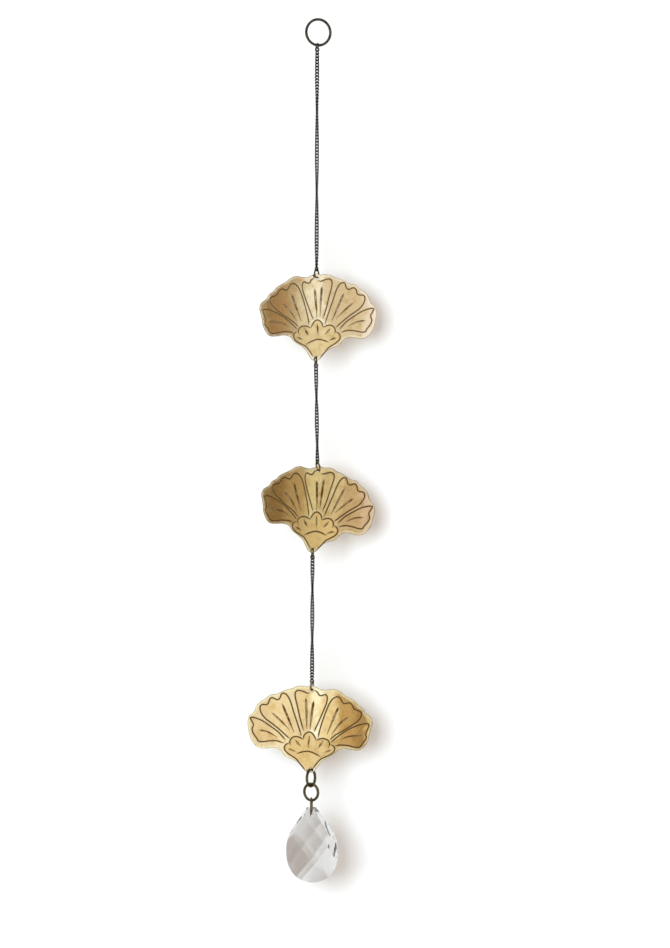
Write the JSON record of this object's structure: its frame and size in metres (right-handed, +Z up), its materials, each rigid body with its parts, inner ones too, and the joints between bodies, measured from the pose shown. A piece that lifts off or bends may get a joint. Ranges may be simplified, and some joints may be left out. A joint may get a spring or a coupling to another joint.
{
  "type": "suncatcher",
  "caption": "Hanging suncatcher: engraved brass flower plates strung on fine curb chain from a wire ring, with a faceted clear glass drop at the bottom.",
  "frame": {"origin": "inside top of the hanging ring, where a hook or a nail carries the suncatcher", "axes": "+Z up along the chain, -Y towards the viewer, +X to the viewer's right"},
  "size_m": [0.0648, 0.028, 0.4323],
  "materials": {
    "flower_brass": "aged brass sheet, satin, with warm and greenish tarnish and dark engraved lines",
    "ring_bronze": "dark antique-plated wire, satin, bare brass at the worn places",
    "chain_bronze": "dark antique-plated chain, satin",
    "bail_brass": "antique brass wire, satin",
    "drop_glass": "clear cut and polished glass"
  },
  "bodies": {
    "root": {"hanging_ring": "ring_bronze", "top_chain_ring": "ring_bronze", "upper_chain": "chain_bronze", "upper_flower_top_ring": "ring_bronze", "upper_flower": "flower_brass", "upper_flower_bottom_ring": "ring_bronze", "middle_chain": "chain_bronze", "middle_flower_top_ring": "ring_bronze", "middle_flower": "flower_brass", "middle_flower_bottom_ring": "ring_bronze", "lower_chain": "chain_bronze", "lower_flower_top_ring": "ring_bronze", "lower_flower": "flower_brass", "drop_ring_upper": "ring_bronze", "drop_ring_lower": "ring_bronze", "drop_bail": "bail_brass", "crystal_drop": "drop_glass"}
  },
  "joints": []
}
